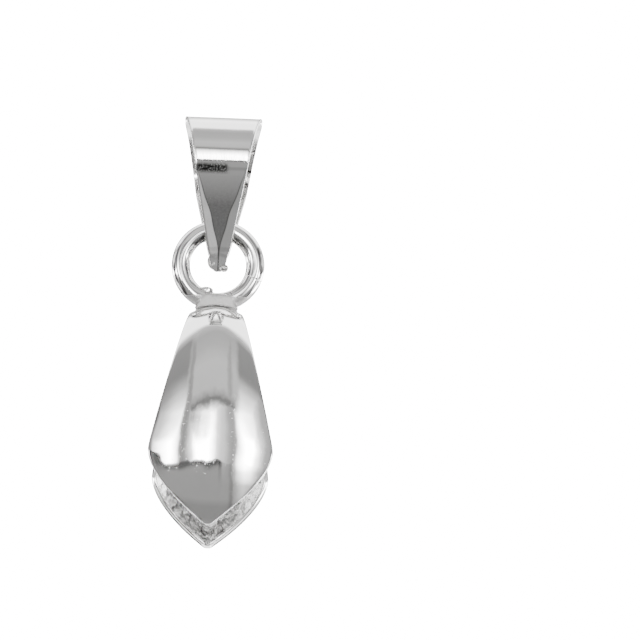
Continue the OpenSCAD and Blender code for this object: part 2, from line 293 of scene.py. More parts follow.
def silver(name, tone, roughness, waves=0.0, grain=0.0, grain_size=0.12 * MM, scratches=0.0, pits=0.0,
           blackened=0.0, frosted=0.0):
    """Silver whose tone and gloss vary in soft patches, with ripples, grain, scratches and pits in relief.

    The depths are in metres. Marks on the mesh say where it is dark in speckles (tarnish, and painted shade),
    dark in broken spots (stains, and painted reflections) or only duller (dull). blackened is how dark the
    silver is in the scattered hollows of a cast skin. frosted is how far the places of that mark have the
    white, matt skin that pickling leaves.
    """
    material = bpy.data.materials.new(name)
    material.use_nodes = True
    tree = material.node_tree
    shader = tree.nodes["Principled BSDF"]
    shader.inputs["Metallic"].default_value = 1.0
    place = tree.nodes.new("ShaderNodeTexCoord").outputs["Object"]

    def noise(size, detail=3.0, rough=0.5, stretch=(1, 1, 1)):
        squeezed = tree.nodes.new("ShaderNodeMapping")
        squeezed.inputs["Scale"].default_value = stretch
        link(tree, place, squeezed.inputs["Vector"])
        texture = tree.nodes.new("ShaderNodeTexNoise")
        texture.inputs["Scale"].default_value = 1 / size
        texture.inputs["Detail"].default_value = detail
        texture.inputs["Roughness"].default_value = rough
        link(tree, squeezed.outputs["Vector"], texture.inputs["Vector"])
        return texture.outputs["Fac"]

    def ramp(value, *stops):
        return node_ramp(tree, value, stops)

    def combine(operation, *values):
        return node_math(tree, operation, values)

    def mark(name):
        attribute = tree.nodes.new("ShaderNodeAttribute")
        attribute.attribute_name = name
        return attribute.outputs["Fac"]

    if frosted:
        metal_left = combine("MULTIPLY_ADD", mark("frosted"), -frosted, 1.0)
        link(tree, metal_left, shader.inputs["Metallic"])
    speckle = ramp(noise(0.13 * MM, 4.0, 0.7), (0.25, 0.8), (0.7, 1.0))
    broken = ramp(noise(0.075 * MM, 3.0, 0.65, (1, 1, 0.55)), (0.38, 0.3), (0.5, 1.0))
    # The dark marks hold real tarnish and stains, and also painted shade and painted reflections.
    dirt = combine("MAXIMUM", combine("MULTIPLY", mark("tarnish"), speckle),
                   combine("MULTIPLY", mark("stain"), broken))
    if blackened:
        hollows = ramp(noise(0.3 * MM, 5.0, 0.72, (1, 1, 0.6)),
                       (0.42, blackened), (0.49, 0.2 * blackened), (0.6, 0.0))
        dirt = combine("MAXIMUM", dirt, hollows)
    patches = ramp(noise(1.6 * MM), (0.3, tuple(0.955 * t for t in tone)), (0.7, tone))
    tint = tree.nodes.new("ShaderNodeMix")
    tint.data_type = "RGBA"
    tint.inputs["B"].default_value = TARNISH_BLACK
    link(tree, dirt, tint.inputs["Factor"])
    link(tree, patches, tint.inputs["A"])
    link(tree, tint.outputs["Result"], shader.inputs["Base Color"])
    gloss = ramp(noise(0.7 * MM, 5.0, 0.6), (0.35, roughness * 0.75), (0.75, roughness * 1.5))
    dull = combine("MULTIPLY_ADD", dirt, DIRT_ROUGHENS, combine("MULTIPLY", mark("dull"), DULL_ROUGHENS))
    link(tree, combine("ADD", gloss, dull), shader.inputs["Roughness"])

    def scratched():
        return ramp(noise(0.05 * MM, 2.0, 0.5, (1, 1, 0.06)), (0.42, 0.0), (0.6, 1.0))

    def pitted():
        return ramp(noise(0.09 * MM, 1.0), (0.22, 0.0), (0.3, 1.0))

    relief = None
    for depth_m, field in ((waves, lambda: noise(1.1 * MM, 1.0)),
                           (grain, lambda: noise(grain_size, 5.0, 0.62)),
                           (scratches, scratched), (pits, pitted)):
        if not depth_m:
            continue
        bump = tree.nodes.new("ShaderNodeBump")
        bump.inputs["Distance"].default_value = depth_m
        link(tree, field(), bump.inputs["Height"])
        if relief:
            link(tree, relief, bump.inputs["Normal"])
        relief = bump.outputs["Normal"]
    if relief:
        link(tree, relief, shader.inputs["Normal"])
    return material


# The front half carries the painted dark reflection at the bend, the back half the real stains inside.
points, stain = [], []
for side in (-1, 1):
    points.append(np.stack([loop_x, side * depth, height], -1).reshape(-1, 3))
    stain.append(bend_stain if side < 0 else back_stain)
# One dark mark: tarnish and painted shade in the creases, and the triangle's painted reflection.
tarnish = np.clip(0.85 * crease_dirt + 0.66 * triangle_dirt, 0, 1)
rows, columns = loop_x.shape
half_count = rows * columns
half_faces = ring_faces(rows, columns)
faces = np.concatenate([half_faces, half_faces + half_count])
caps = [range(half_count - columns, half_count), range(2 * half_count - columns, 2 * half_count)]
place_in_section = half_faces[:, 0] % columns
from_middle = np.minimum(place_in_section, columns - 1 - place_in_section)
half_finish = np.where(from_middle < OUTER_COUNT - 1, 0, np.where(from_middle < INNER_FROM, 1, 2))


def is_inside_joint(face):
    """Whether a face lies in the plane where the two legs meet."""
    return all(abs(vert.co.y) < 2e-8 for vert in face.verts)


bail_band = make_piece("folded_bail_band", np.concatenate(points), faces, caps,
                       marks={"tarnish": np.tile(tarnish.ravel(), 2), "stain": np.concatenate(stain).ravel()},
                       finishes=np.concatenate([half_finish, half_finish]), inner_seam=is_inside_joint)
BRIGHT = (0.955, 0.95, 0.94)
bail_band.data.materials.append(silver("rolled_sheet_silver", BRIGHT, 0.06, waves=0.004 * MM,
                                       scratches=0.0006 * MM))
bail_band.data.materials.append(silver("milled_edge_silver", (0.66, 0.655, 0.645), 0.16, grain=0.008 * MM,
                                       grain_size=0.05 * MM))
bail_band.data.materials.append(silver("sheet_inside_silver", (0.92, 0.915, 0.905), 0.08, waves=0.02 * MM,
                                       scratches=0.003 * MM))
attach(bail_band, "band")
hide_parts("bail_band")

# The solder that joins the two legs has run out beside the tip: a round bead at the right and a long, flat
# lump at the left. It is greyer and duller than the sheet, because it was left as it set.
solder_silver = silver("run_solder_silver", (0.48, 0.475, 0.465), 0.36, grain=0.012 * MM, grain_size=0.1 * MM)
DROP_ROWS, DROP_COLUMNS = 25, 48


def solder_drop(name, middle, reach, lumpiness, seed):
    """A lumpy drop about its middle, with its reach across, front to back and up, all in millimetres."""
    down, round_it = np.meshgrid(np.linspace(0, math.pi, DROP_ROWS),
                                 np.linspace(0, 2 * math.pi, DROP_COLUMNS, endpoint=False), indexing="ij")
    swell = 1 + lumpiness * (np.sin(3 * round_it + seed) * np.sin(2 * down + seed) * np.sin(down)
                             + 0.6 * np.sin(5 * round_it - seed) * np.sin(down) ** 2)
    unit = np.stack([np.sin(down) * np.cos(round_it), np.sin(down) * np.sin(round_it), np.cos(down)], -1)
    points = np.array(middle) * MM + unit * swell[..., None] * np.array(reach) * MM
    drop = make_piece(name, points.reshape(-1, 3), ring_faces(DROP_ROWS, DROP_COLUMNS), weld=2e-7)
    drop.data.materials.append(solder_silver)
    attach(drop, "band")


solder_drop("tip_bead", (0.33, -0.05, -8.12), (0.24, 0.2, 0.22), 0.05, 1.0)
solder_drop("tip_lump", (-0.25, 0.0, -7.76), (0.33, 0.18, 0.46), 0.07, 2.4)

# The clip is one cast and polished strip: an arch over the crown, with a domed and pointed leaf at each end.
# It springs apart to take the stone. The outside is a mirror, and the inside is as it was cast and pickled.
tips_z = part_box("pinch_clip")[0][2]
clip_h = 12.7 * MM
clip_d = 8.9 * MM
tips_d = 6.8 * MM
arch_h = 6.8 * MM
crown_w = 2.9 * MM
leaf_w = 6.76 * MM
corner_h = 4.05 * MM
tip_r = 0.7 * MM
clip_t = 0.55 * MM
crown_dome = 0.42 * MM
leaf_dome = 0.76 * MM
clip_round = 0.11 * MM
rim_bulge = 0.045 * MM
leaf_corner_soft = 0.12 * MM
dome_corner_soft = 0.1 * MM
back_narrowing = 0.045
end_thinning = 0.25
outside_sag = 0.003 * MM
LEAF_BOW = 1.85
end_soft = tip_r / (leaf_w / 2 * LEAF_BOW / corner_h) ** 2
crown_z = tips_z + clip_h
corner_drop = clip_h - corner_h
leaf_h = clip_h - arch_h
tip_turn = (clip_d - tips_d) / 2

# The ridge line of one half, down the middle of the strip. Its rows stand closer at the point.
arch_turn = np.linspace(0, math.pi / 2, 500)
leaf_share = np.linspace(0, 1, 400)[1:]
fine_reach = np.concatenate([clip_d / 2 * np.sin(arch_turn), clip_d / 2 - tip_turn * leaf_share ** 3])
fine_drop = np.concatenate([arch_h * (1 - np.cos(arch_turn)), arch_h + leaf_h * leaf_share])
fine_along = np.concatenate([[0], np.cumsum(np.hypot(np.diff(fine_reach), np.diff(fine_drop)))])
ridge_l = fine_along[-1]
LEAF_END = 0.6 * MM
HALF_ROWS, END_ROWS = 185, 16
end_rows = LEAF_END * (1 - np.linspace(0, 1, END_ROWS + 1)[1:]) ** 2
rows_along = np.concatenate([np.linspace(0, ridge_l - LEAF_END, HALF_ROWS), ridge_l - end_rows])
reach = np.interp(rows_along, fine_along, fine_reach)
drop = np.interp(rows_along, fine_along, fine_drop)
lean_y = np.interp(rows_along, fine_along, np.gradient(fine_drop, fine_along))
lean_z = np.interp(rows_along, fine_along, np.gradient(fine_reach, fine_along))


def soft_min(a, b, reach_of_blend):
    """The smaller of two values, with a round corner where they cross."""
    blend = np.clip(reach_of_blend - np.abs(a - b), 0, None) / reach_of_blend
    return np.minimum(a, b) - blend ** 2 * reach_of_blend / 4


def pointed_half_width(drop):
    """Half width of the leaf's point at a drop from the crown. Its very end is rounded to tip_r."""
    up = clip_h - drop
    end_height = np.sqrt(up ** 2 + 2 * up * end_soft) - end_soft * up / (up + end_soft)
    return leaf_w / 2 * (1 - np.clip(1 - end_height / corner_h, 0, 1) ** LEAF_BOW)


def leaf_half_width(drop):
    straight = crown_w / 2 + (leaf_w - crown_w) / 2 * drop / corner_drop
    return soft_min(straight, pointed_half_width(drop), leaf_corner_soft)


def leaf_rise(drop):
    straight = crown_dome + (leaf_dome - crown_dome) * drop / corner_drop
    pointed = leaf_dome * (pointed_half_width(drop) / (leaf_w / 2)) ** 2
    return soft_min(straight, pointed, dome_corner_soft)


def clip_wall(drop):
    """Thickness of the strip, which was filed thinner at the points."""
    return clip_t * (1 - end_thinning * (drop / clip_h) ** 8)


# The section is a shallow dome, of even thickness measured square to its faces, with rounded edges.
half = np.clip(leaf_half_width(drop), 0, None)
half[-1] = 0
dome = leaf_rise(drop)
wall = clip_wall(drop)
up = np.clip(1 - (ridge_l - rows_along) / clip_round, 0, 1)
tip_round = 0.9 * clip_round * (1 - np.sqrt(1 - up ** 2))
safe_half = np.maximum(half, 0.01 * MM)
slope = np.arctan(2 * dome / safe_half)
inner_half = half ** 2 / (safe_half + wall * np.sin(slope))
inner_dome = dome - wall * (1 - np.cos(slope))
corner = np.minimum(clip_round, 0.45 * half)
outer_end = np.clip(1 - 0.9 * corner / safe_half, 0.5, 1)

SPAN = np.linspace(-1, 1, 37)
INSIDE = np.linspace(1, -1, 81)
BEND = np.linspace(0, 1, 7)[1:-1]
RIM = np.linspace(0, 1, 6)
u = SPAN * column(outer_end)
outside_x, outside_w = column(half) * u, -column(dome) * u ** 2 - column(tip_round)
v = INSIDE * column(outer_end)
inside_x = column(inner_half) * v
inside_w = -column(wall) - column(inner_dome) * v ** 2 + column(tip_round)
top_edge = np.stack([half, -dome - tip_round], 1)
low_edge = np.stack([inner_half, -wall - inner_dome + tip_round], 1)
rim_l = np.maximum(np.linalg.norm(low_edge - top_edge, axis=1), 1e-9)
down_rim = (low_edge - top_edge) / column(rim_l)
off_rim = np.stack([-down_rim[:, 1], down_rim[:, 0]], 1)
bulge = rim_bulge * np.clip(half / (0.3 * MM), 0, 1)
rim_from, rim_to = corner / rim_l, 1 - corner / rim_l
rim_at = column(rim_from) + RIM * column(rim_to - rim_from)
rim_points = (top_edge[:, None] + down_rim[:, None] * (rim_at * column(rim_l))[..., None]
              + off_rim[:, None] * (column(bulge) * (1 - (2 * rim_at - 1) ** 2))[..., None])


def curve_between(start, middle, end):
    """The points of a small rounded corner, without its two ends."""
    t = BEND[None, :, None]
    return (1 - t) ** 2 * start[:, None] + 2 * t * (1 - t) * middle[:, None] + t ** 2 * end[:, None]


outer_last = np.stack([outside_x[:, -1], outside_w[:, -1]], 1)
inner_first = np.stack([inside_x[:, 0], inside_w[:, 0]], 1)
right_rim = np.concatenate([curve_between(outer_last, top_edge, rim_points[:, 0]), rim_points,
                            curve_between(rim_points[:, -1], low_edge, inner_first)], 1)
loop_x = np.concatenate([outside_x, right_rim[..., 0], inside_x, -right_rim[:, ::-1, 0]], 1)
loop_w = np.concatenate([outside_w, right_rim[..., 1], inside_w, right_rim[:, ::-1, 1]], 1)
OUTSIDE, EDGE, INNER = len(SPAN), right_rim.shape[1], len(INSIDE)
INSIDE_FROM = OUTSIDE + EDGE
INSIDE_TO = INSIDE_FROM + INNER

CAST_WAVES = np.array([1.1, 0.75, 0.55, 0.42, 0.34, 0.28]) * MM
WAVES_OF_A_LENGTH = 5
CAST_STEEPNESS = 0.11
CAST_FADE = 0.5 * MM
CAST_SEED = 5


def cast_lumps(x, z, seed):
    """The crumpled skin that the mould has left, as a height in metres: waves of many lengths and ways."""
    chance = np.random.default_rng(seed)
    height = np.zeros_like(x)
    for wave in np.repeat(CAST_WAVES, WAVES_OF_A_LENGTH):
        way, start, bend = chance.uniform(0, 2 * math.pi, 3)
        path = x * math.cos(way) + z * math.sin(way) + 0.25 * wave * np.sin(2 * (x + z) / wave + bend)
        crumple = 1 - 2 * np.abs(np.sin(math.pi * path / wave + start))
        height += CAST_STEEPNESS * wave / (2 * math.pi) * crumple
    return height


strips = []
for side in (-1, 1):
    y = side * (column(reach) + column(lean_y) * loop_w)
    z = crown_z - column(drop) + column(lean_z) * loop_w
    narrowing = back_narrowing if side > 0 else 0
    x = loop_x * (1 - narrowing * column(np.clip(drop / corner_drop, 0, 1) ** 2))
    lumps = np.zeros_like(loop_x)
    inner = slice(INSIDE_FROM, INSIDE_TO)
    fade_to_point = column(np.clip((ridge_l - rows_along) / CAST_FADE, 0, 1))
    fade = fade_to_point * np.clip((1 - np.abs(INSIDE)) * 6, 0, 1)
    lumps[:, inner] = cast_lumps(loop_x, z, CAST_SEED + side)[:, inner] * fade
    sag = outside_sag * np.sin(loop_x / MM * 1.7 + z / MM * 0.9) * np.sin(z / MM * 1.25 + 1.0)
    lumps[:, :OUTSIDE] += (sag * column(np.clip((ridge_l - rows_along) / MM, 0, 1)))[:, :OUTSIDE]
    y = y + side * column(lean_y) * lumps
    z = z + column(lean_z) * lumps
    strips.append(np.stack([x, y, z], -1))
strip = np.concatenate([strips[0][:0:-1], strips[1]])
rows, columns = strip.shape[:2]
faces = ring_faces(rows, columns)
across = faces[:, 0] % columns
is_on_inside = (across >= INSIDE_FROM) & (across < columns - EDGE - 1)
finish = np.where(across < OUTSIDE - 1, 0, np.where(is_on_inside, 2, 1))

# Pickling has left the inside white along both edges, less so at the right, and grey in between.
frost_middle = -0.3 * MM
frost_from = 1.8 * MM
frost_grows = 0.4 * MM
frost_at_right = 0.4
grey_between = 0.4
frosted = np.clip((np.abs(strip[..., 0] - frost_middle) - frost_from) / frost_grows, 0, 1)
frosted = frosted * np.where(strip[..., 0] < 0, 1.0, frost_at_right)
frosted[:, :INSIDE_FROM] = 0
frosted[:, INSIDE_TO:] = 0
greyed = np.zeros_like(frosted)
greyed[:, INSIDE_FROM:INSIDE_TO] = grey_between
greyed = greyed * (1 - frosted)
pinch_clip = make_piece("domed_clip", strip.reshape(-1, 3), faces, finishes=finish,
                        marks={"frosted": frosted.ravel(), "tarnish": greyed.ravel()})
pinch_clip.data.materials.append(silver("polished_leaf_silver", BRIGHT, 0.05, waves=0.005 * MM,
                                        pits=0.0008 * MM))
pinch_clip.data.materials.append(silver("polished_rim_silver", BRIGHT, 0.08, grain=0.002 * MM,
                                        grain_size=0.2 * MM))
pinch_clip.data.materials.append(silver("cast_inside_silver", (0.9, 0.895, 0.885), 0.1, grain=0.06 * MM,
                                        grain_size=0.26 * MM, scratches=0.02 * MM, blackened=0.8,
                                        frosted=0.85))
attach(pinch_clip, "clip")
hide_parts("pinch_clip")

# The ring is round wire, closed by a butt seam. It stands on the crown in a web of solder that fills the
# corner below it and runs out thin over the crown. A bead of solder has stayed inside the hole.
ring_r = 2.03 * MM
wire_r = 0.51 * MM
ring_sink = 0.17 * MM
ring_z = crown_z + ring_r + wire_r - ring_sink
seam_turn = math.radians(-20)
SEAM_W = 0.018 * MM
SEAM_DEPTH = 0.02 * MM
web_face = 0.5 * MM
web_top_z = -1.65 * MM
web_top = 0.5 * MM
web_spread = 0.92
web_reach = 0.95 * MM
WIRE_RIDGES = 7
RIDGE = 0.009 * MM

# Solder has filled the bottom of the hole flat, up to HOLE_FLAT_Z. Heights are from the ring's middle.
HOLE_FLAT_Z = -1.74 * MM
HOLE_FLAT_HALF = 0.65 * MM
HOLE_FLAT_ASIDE = 0.1 * MM
HOLE_FLAT_TO = -1.0 * MM
LUMP_AT = (-0.6 * MM, -0.14 * MM, -1.42 * MM)
LUMP_SIZE = (0.38 * MM, 0.24 * MM, 0.19 * MM)
LUMP_FILLET = 0.08 * MM
END_PIP_R = 0.17 * MM
END_PIP_ASIDE = 1.22 * MM
END_PIP_DOWN = 2.02 * MM
TINY_FILLET = 0.06 * MM
SMALL_FILLET = 0.12 * MM
WIDE_FILLET = 0.2 * MM
CROWN_SKIN = 0.008 * MM


def crown_height(x, y):
    """Height of the crown's polished outside."""
    fall = arch_h * (1 - np.sqrt(np.clip(1 - (y / (clip_d / 2)) ** 2, 0, 1)))
    width = crown_w / 2 + (leaf_w - crown_w) / 2 * fall / corner_drop
    rise = crown_dome + (leaf_dome - crown_dome) * fall / corner_drop
    return crown_z - fall - rise * (x / width) ** 2


def ring_solid(p):
    """Distance from the soft union of wire, web, beads and crown, negative inside."""
    x, y, z = p[..., 0], p[..., 1], p[..., 2] - ring_z
    turn = np.arctan2(z, x)
    seam = SEAM_DEPTH * np.exp(-((turn - seam_turn) * ring_r / SEAM_W) ** 2)
    section_turn = np.arctan2(y, np.hypot(x, z) - ring_r)
    ridges = np.sin(WIRE_RIDGES * section_turn + 1.4 * np.sin(2 * turn + 0.5))
    ridges = ridges * (0.6 + 0.4 * np.sin(3 * turn + 1.0))
    wire = np.hypot(np.hypot(x, z) - ring_r, y) - (wire_r - seam - RIDGE * (0.3 + ridges))
    over_flat = np.minimum(z - HOLE_FLAT_Z, HOLE_FLAT_HALF - np.abs(x - HOLE_FLAT_ASIDE))
    hollow = np.minimum(over_flat, HOLE_FLAT_TO - z)
    wire = -soft_min(-wire, -hollow, TINY_FILLET)
    below = web_top_z - z
    flank = (np.abs(x) - web_top - web_spread * below) / math.hypot(1, web_spread)
    web = -soft_min(soft_min(web_face - np.abs(y), -flank, SMALL_FILLET), below, WIDE_FILLET)
    solid = soft_min(wire, web, SMALL_FILLET)
    lump = np.sqrt(sum(((q - at) / size) ** 2 for q, at, size in zip((x, y, z), LUMP_AT, LUMP_SIZE))) - 1
    solid = soft_min(solid, lump * LUMP_SIZE[2], LUMP_FILLET)
    pip = np.sqrt((np.abs(x) - END_PIP_ASIDE) ** 2 + y ** 2 + (z + END_PIP_DOWN) ** 2) - END_PIP_R
    solid = soft_min(solid, pip, TINY_FILLET)
    crown = 0.8 * (p[..., 2] - crown_height(x, y)) + CROWN_SKIN
    return soft_min(solid, crown, WIDE_FILLET)


def outermost(base, direction, solid, farthest, steps=70):
    """Pushes points from base along direction to where they first leave the solid."""
    travel = np.linspace(0, farthest, steps)
    value = solid(base[:, None] + direction[:, None] * travel[None, :, None])
    leaves = (value[:, :-1] <= 0) & (value[:, 1:] > 0)
    found = leaves.any(1)
    first = leaves.argmax(1)
    row = np.arange(len(base))
    inside, outside = value[row, first], value[row, first + 1]
    exact = travel[first] + (travel[1] - travel[0]) * inside / np.where(found, inside - outside, 1)
    return base + direction * np.where(found, exact, farthest * 0.02)[:, None]


AROUND, ACROSS, SEAM_ROWS = 400, 96, 17
turn = np.linspace(0, 2 * math.pi, AROUND, endpoint=False)
at_seam = 2 * math.pi + seam_turn + np.linspace(-4, 4, SEAM_ROWS) * SEAM_W / ring_r
turn = np.sort(np.concatenate([turn, at_seam]))
around = np.linspace(0, 2 * math.pi, ACROSS, endpoint=False)
outward = np.stack([np.cos(turn), np.zeros_like(turn), np.sin(turn)], 1)
direction = outward[:, None] * np.cos(around)[None, :, None]
direction = direction + np.array([0, 1.0, 0]) * np.sin(around)[None, :, None]
base = np.array([0, 0, ring_z]) + outward[:, None] * ring_r + direction * (wire_r - 1.2 * SEAM_DEPTH)
ring_points = outermost(base.reshape(-1, 3), direction.reshape(-1, 3), ring_solid, web_reach)
ring_points = ring_points.reshape(len(turn), ACROSS, 3)
faces = ring_faces(len(turn) + 1, ACROSS) % (len(turn) * ACROSS)
ring_at = ring_points.reshape(-1, 3)

# The web is dull and grey, with painted shade where it meets the crown. Dark patches are painted inside
# the hole, at the upper left and the upper right, as the reflection of the band's legs. The wire is worn dark
# in front at the far left.
over_crown = ring_at[:, 2] - crown_height(ring_at[:, 0], ring_at[:, 1])
below_hole = np.clip((HOLE_FLAT_Z + ring_z - ring_at[:, 2]) / (0.1 * MM), 0, 1)
# Painted shade on the web close to the crown.
foot_dirt = below_hole * np.clip(1.6 - over_crown / (0.16 * MM), 0, 1)
from_axis = np.hypot(ring_at[:, 0], ring_at[:, 2] - ring_z)
from_left = np.degrees(np.arctan2(ring_at[:, 2] - ring_z, -ring_at[:, 0]))
in_hole = np.clip((ring_r - 0.2 * MM - from_axis) / (0.08 * MM), 0, 1)
# Painted reflection of the band's legs, as dark patches inside the hole.
near_legs = np.maximum(np.clip(1.6 - np.abs(from_left - 50) / 13, 0, 1),
                       np.clip(1.5 - np.abs(from_left - 132) / 12, 0, 1))
worn = np.exp(-((from_axis - ring_r + 0.04 * MM) / (0.15 * MM)) ** 2) * (ring_at[:, 1] < 0)
worn *= np.clip(1.7 - np.abs(from_left - 4) / 16, 0, 1)
ring_marks = {"stain": np.maximum(0.8 * in_hole * near_legs, 0.45 * worn),
              "dull": 1.2 * below_hole,
              "tarnish": np.maximum(0.5 * below_hole, 0.62 * foot_dirt)}
wire_ring = make_piece("wire_ring", ring_at, faces, marks=ring_marks)
wire_ring.data.materials.append(silver("drawn_wire_silver", BRIGHT, 0.07, waves=0.006 * MM, grain=0.0015 * MM,
                                       grain_size=0.3 * MM))
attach(wire_ring, "clip")

# The two pins are short lengths of round wire, set in solder near the tips of the leaves. They reach into
# the hole in the stone from both sides. They are rougher than the rest, because nobody sees them in wear.
pin_r = 0.5 * MM
pin_up = 1.35 * MM
pin_z = tips_z + pin_up
pin_gap = 0.5 * MM
pin_drop = clip_h - pin_up
leaf_reach = np.interp(pin_drop, drop, reach)
leaf_lean = np.interp(pin_drop, drop, lean_y)
pin_root = leaf_reach - clip_wall(pin_drop) / leaf_lean
PIN_ROUND = 0.06 * MM
PIN_CROWN = 0.03 * MM
PIN_DENT = 0.02 * MM
PIN_CORE = 0.4 * MM
PIN_REACH = 0.62 * MM
PIN_BURIED = 0.12 * MM
ROOT_L = 0.5 * MM
ROOT_ROWS, PIN_ROWS, PIN_SIDES = 26, 60, 56

# A burr stands on each pin near its free end, and a collar of lumpy solder round its root.
BURR_R = 0.11 * MM
BURR_AT = (0.1 * MM, 2.7 * MM, 0.43 * MM)
BURR_FILLET = 0.08 * MM
COLLAR_R = 0.55 * MM
COLLAR_FILLET = 0.1 * MM
COLLAR_LUMP = 0.03 * MM
COLLAR_L = 0.25 * MM
LEAF_FILLET = 0.26 * MM
LEAF_SKIN = 0.012 * MM


def leaf_inside(x, z):
    """Depth of the leaf's inner face from the middle of the clip, near a pin."""
    drop_here = np.clip(crown_z - z, 0, clip_h)
    ridge = np.interp(drop_here, drop, reach) - clip_wall(drop_here) / np.interp(drop_here, drop, lean_y)
    width = np.maximum(np.interp(drop_here, drop, inner_half), 0.05 * MM)
    return ridge - np.interp(drop_here, drop, inner_dome) * (x / width) ** 2


def make_pin(name, side, flats, lump_seed):
    """A pin at the front (-1) or the back (1). flats scales its dents, and lump_seed shifts their places."""
    length = pin_root - pin_gap / 2
    root_rows = np.linspace(-PIN_BURIED, ROOT_L, ROOT_ROWS)
    rows_at = np.concatenate([root_rows, np.linspace(ROOT_L, length - PIN_ROUND, PIN_ROWS)[1:]])
    around = np.linspace(0, 2 * math.pi, PIN_SIDES, endpoint=False)

    def pin_solid(p):
        """Distance from the soft union of wire, burr, collar of solder and leaf, negative inside."""
        x, z = p[..., 0], p[..., 2] - pin_z
        out = pin_root - side * p[..., 1]
        turn = np.arctan2(z, x)
        dents = np.sin(3 * turn + out / MM * 2.3 + lump_seed) * np.sin(out / MM * 5.1 + 2 * lump_seed)
        dents = dents + 0.7 * np.sin(5 * turn - out / MM * 8.7 + lump_seed)
        wire = np.hypot(x, z) - pin_r + PIN_DENT * flats * (1.2 + dents)
        from_burr = (x - BURR_AT[0]) ** 2 + (z - BURR_AT[2]) ** 2 + (out - BURR_AT[1]) ** 2 * 0.5
        burr = np.sqrt(from_burr) - BURR_R
        collar = np.sqrt(x ** 2 + z ** 2 + (0.8 * out) ** 2) - COLLAR_R
        leaf = 0.9 * (leaf_inside(x, p[..., 2]) - side * p[..., 1]) + LEAF_SKIN
        lumps = COLLAR_LUMP * np.sin(4 * turn + lump_seed) * np.exp(-out / COLLAR_L)
        solid = soft_min(soft_min(wire, burr, BURR_FILLET), collar, COLLAR_FILLET)
        return soft_min(solid, leaf, LEAF_FILLET) + lumps

    turned = np.stack([np.cos(around), np.zeros_like(around), np.sin(around)], 1)
    direction = np.broadcast_to(turned, (len(rows_at), len(around), 3))
    base = np.zeros((len(rows_at), len(around), 3))
    base[..., 1] = side * (pin_root - rows_at)[:, None]
    base[..., 2] = pin_z
    start = base + direction * PIN_CORE
    skin = outermost(start.reshape(-1, 3), direction.reshape(-1, 3), pin_solid, PIN_REACH)
    skin = skin.reshape(len(rows_at), len(around), 3)

    # The free end has a small round edge and a low crown, closed in the middle.
    edge_turn = np.linspace(0, math.pi / 2, 6)[1:]
    last = skin[-1] - base[-1]
    rings = [skin]
    for angle in edge_turn:
        size = 1 - PIN_ROUND * (1 - math.cos(angle)) / pin_r
        rings.append((base[-1] + last * size + [0, -side * PIN_ROUND * math.sin(angle), 0])[None])
    for size in (0.75, 0.5, 0.25, 0.02):
        rings.append((base[-1] + last * size * (1 - PIN_ROUND / pin_r)
                      + [0, -side * (PIN_ROUND + PIN_CROWN * (1 - size ** 2)), 0])[None])
    points = np.concatenate(rings)
    rows, columns = points.shape[:2]
    caps = [range(columns), range((rows - 1) * columns, rows * columns)]
    return make_piece(name, points.reshape(-1, 3), ring_faces(rows, columns), caps)


pin_silver = silver("rough_pin_silver", (0.93, 0.925, 0.915), 0.09, grain=0.02 * MM, grain_size=0.16 * MM,
                    scratches=0.004 * MM, blackened=0.8)
for pin, body_side, flats, lump_seed in (("front_pin", -1, 0.7, 0.4), ("back_pin", 1, 1.2, 2.2)):
    peg = make_pin(pin, body_side, flats, lump_seed)
    peg.data.materials.append(pin_silver)
    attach(peg, "clip")

# The studio is a plain pale floor far below the hanging bail, lit evenly white, under a soft white tent. The
# tent is darker in places, so that the silver has something to show: a grey roof over the front, a grey
# table below, and narrow dark seams.
FLOOR_Z = -0.3
FLOOR_R = 4
FLOOR_CORNERS = 64
FLOOR_LIGHT = 14.0
floor_mesh = bpy.data.meshes.new("floor")
rim_turn = np.linspace(0, 2 * math.pi, FLOOR_CORNERS, endpoint=False)
floor_rim = [(FLOOR_R * math.cos(a), FLOOR_R * math.sin(a), FLOOR_Z) for a in rim_turn]
floor_mesh.from_pydata(floor_rim, [], [range(FLOOR_CORNERS)])
floor = bpy.data.objects.new("floor", floor_mesh)
bpy.context.scene.collection.objects.link(floor)
paper = bpy.data.materials.new("pale_paper")
paper.use_nodes = True
paper_shader = paper.node_tree.nodes["Principled BSDF"]
paper_shader.inputs["Base Color"].default_value = (0.9, 0.9, 0.9, 1)
paper_shader.inputs["Roughness"].default_value = 0.9
paper_shader.inputs["Emission Color"].default_value = (1, 1, 1, 1)
paper_shader.inputs["Emission Strength"].default_value = FLOOR_LIGHT
floor.data.materials.append(paper)
floor.visible_glossy = False

world = bpy.data.worlds.new("white_tent")
bpy.context.scene.world = world
world.use_nodes = True
tent = world.node_tree
background = tent.nodes["Background"]
parts = tent.nodes.new("ShaderNodeSeparateXYZ")
direction_of_view = tent.nodes.new("ShaderNodeTexCoord").outputs["Generated"]
link(tent, direction_of_view, parts.inputs["Vector"])


def tent_math(operation, *values):
    return node_math(tent, operation, values)


def tent_ramp(degrees, *stops):
    """Brightness by an angle: stops are (degrees, brightness) in order."""
    low, high = stops[0][0], stops[-1][0]
    share = tent_math("DIVIDE", tent_math("SUBTRACT", degrees, low), high - low)
    return node_ramp(tent, share, [((angle - low) / (high - low), shade) for angle, shade in stops])


def tent_mix(share, off, on):
    """Brightness that goes from off to on as share goes from 0 to 1."""
    mix = tent.nodes.new("ShaderNodeMix")
    mix.data_type = "RGBA"
    for socket, value in (("Factor", share), ("A", off), ("B", on)):
        if isinstance(value, (int, float)):
            mix.inputs[socket].default_value = value if socket == "Factor" else (value, value, value, 1)
        else:
            link(tent, value, mix.inputs[socket])
    return mix.outputs["Result"]


